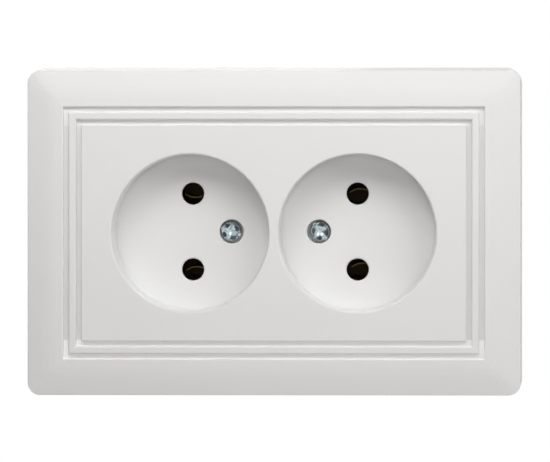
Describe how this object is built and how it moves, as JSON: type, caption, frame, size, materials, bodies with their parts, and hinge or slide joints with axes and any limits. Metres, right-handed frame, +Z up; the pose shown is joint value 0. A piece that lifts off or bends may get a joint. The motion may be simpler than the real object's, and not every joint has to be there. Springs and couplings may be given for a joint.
{
  "type": "double wall socket",
  "caption": "Flush double wall socket: moulded frame with a stepped bead, flat cover with round plug recesses, screw terminals and expanding claws behind.",
  "frame": {"origin": "middle of the wall box screws, in the plane of the wall", "axes": "+X to the right as seen from the room, +Y into the wall, +Z up; the room is towards -Y"},
  "size_m": [0.1238, 0.035, 0.0822],
  "materials": {
    "white_plastic": "white, low gloss with a very fine grain",
    "dark_insulator": "dark moulded insulator",
    "brown_board": "pressed board",
    "zinc_steel": "zinc plated sheet",
    "bright_steel": "bright zinc plated",
    "brass": "rolled brass"
  },
  "bodies": {
    "socket": {"frame": "white_plastic", "cover": "white_plastic", "cover_screw_left": "bright_steel", "cover_screw_right": "bright_steel", "support_plate": "zinc_steel", "base": "dark_insulator", "rear_cover": "brown_board", "stack_rivets": "brass", "live_bus": "brass", "neutral_bus": "brass", "contact_rivets": "brass", "insert_left": "brass", "insert_right": "brass", "live_contact_left": "brass", "live_contact_right": "brass", "neutral_contact_left": "brass", "neutral_contact_right": "brass", "claw_pin_top": "zinc_steel", "claw_pin_bottom": "zinc_steel"},
    "live_clamp_left": {"live_clamp_left": "zinc_steel"},
    "live_terminal_screw_left": {"live_terminal_screw_left": "bright_steel"},
    "live_clamp_right": {"live_clamp_right": "zinc_steel"},
    "live_terminal_screw_right": {"live_terminal_screw_right": "bright_steel"},
    "neutral_clamp_left": {"neutral_clamp_left": "zinc_steel"},
    "neutral_terminal_screw_left": {"neutral_terminal_screw_left": "bright_steel"},
    "neutral_clamp_right": {"neutral_clamp_right": "zinc_steel"},
    "neutral_terminal_screw_right": {"neutral_terminal_screw_right": "bright_steel"},
    "claw_top": {"claw_top": "zinc_steel"},
    "claw_screw_top": {"claw_screw_top": "bright_steel"},
    "claw_nut_top": {"claw_nut_top": "brass"},
    "claw_bottom": {"claw_bottom": "zinc_steel"},
    "claw_screw_bottom": {"claw_screw_bottom": "bright_steel"},
    "claw_nut_bottom": {"claw_nut_bottom": "brass"}
  },
  "joints": [
    {"name": "live_clamp_left_slide", "type": "slide", "parent": "socket", "child": "live_clamp_left", "axis": [0, 0, 1], "range_m": [0, 0.0026]},
    {"name": "live_terminal_screw_left_turn", "type": "hinge", "parent": "live_clamp_left", "child": "live_terminal_screw_left", "pos_m": [-0.0112, 0.012, 0.0163], "axis": [0, 0, 1], "range_deg": [0, 1560]},
    {"name": "live_clamp_right_slide", "type": "slide", "parent": "socket", "child": "live_clamp_right", "axis": [0, 0, 1], "range_m": [0, 0.0026]},
    {"name": "live_terminal_screw_right_turn", "type": "hinge", "parent": "live_clamp_right", "child": "live_terminal_screw_right", "pos_m": [0.0112, 0.012, 0.0163], "axis": [0, 0, 1], "range_deg": [0, 1560]},
    {"name": "neutral_clamp_left_slide", "type": "slide", "parent": "socket", "child": "neutral_clamp_left", "axis": [0, 0, -1], "range_m": [0, 0.0026]},
    {"name": "neutral_terminal_screw_left_turn", "type": "hinge", "parent": "neutral_clamp_left", "child": "neutral_terminal_screw_left", "pos_m": [-0.0112, 0.012, -0.0163], "axis": [0, 0, -1], "range_deg": [0, 1560]},
    {"name": "neutral_clamp_right_slide", "type": "slide", "parent": "socket", "child": "neutral_clamp_right", "axis": [0, 0, -1], "range_m": [0, 0.0026]},
    {"name": "neutral_terminal_screw_right_turn", "type": "hinge", "parent": "neutral_clamp_right", "child": "neutral_terminal_screw_right", "pos_m": [0.0112, 0.012, -0.0163], "axis": [0, 0, -1], "range_deg": [0, 1560]},
    {"name": "claw_screw_top_turn", "type": "hinge", "parent": "socket", "child": "claw_screw_top", "pos_m": [0, 0, 0.027], "axis": [0, 1, 0], "range_deg": [0, 1512]},
    {"name": "claw_nut_top_slide", "type": "slide", "parent": "socket", "child": "claw_nut_top", "axis": [0, -1, 0], "range_m": [0, 0.0021]},
    {"name": "claw_top_swing", "type": "hinge", "parent": "socket", "child": "claw_top", "pos_m": [0, 0.008, 0.0228], "axis": [1, 0, 0], "range_deg": [0, 32]},
    {"name": "claw_screw_bottom_turn", "type": "hinge", "parent": "socket", "child": "claw_screw_bottom", "pos_m": [0, 0, -0.027], "axis": [0, 1, 0], "range_deg": [0, 1512]},
    {"name": "claw_nut_bottom_slide", "type": "slide", "parent": "socket", "child": "claw_nut_bottom", "axis": [0, -1, 0], "range_m": [0, 0.0021]},
    {"name": "claw_bottom_swing", "type": "hinge", "parent": "socket", "child": "claw_bottom", "pos_m": [0, 0.008, -0.0228], "axis": [-1, 0, 0], "range_deg": [0, 32]}
  ],
  "couplings": [
    {"joint": "live_terminal_screw_left_turn", "follows": "live_clamp_left_slide", "rad_per_m": 10472},
    {"joint": "live_terminal_screw_right_turn", "follows": "live_clamp_right_slide", "rad_per_m": 10472},
    {"joint": "neutral_terminal_screw_left_turn", "follows": "neutral_clamp_left_slide", "rad_per_m": 10472},
    {"joint": "neutral_terminal_screw_right_turn", "follows": "neutral_clamp_right_slide", "rad_per_m": 10472},
    {"joint": "claw_screw_top_turn", "follows": "claw_nut_top_slide", "rad_per_m": 12566},
    {"joint": "claw_top_swing", "follows": "claw_nut_top_slide", "rad_per_m": 265.9},
    {"joint": "claw_screw_bottom_turn", "follows": "claw_nut_bottom_slide", "rad_per_m": 12566},
    {"joint": "claw_bottom_swing", "follows": "claw_nut_bottom_slide", "rad_per_m": 265.9}
  ]
}
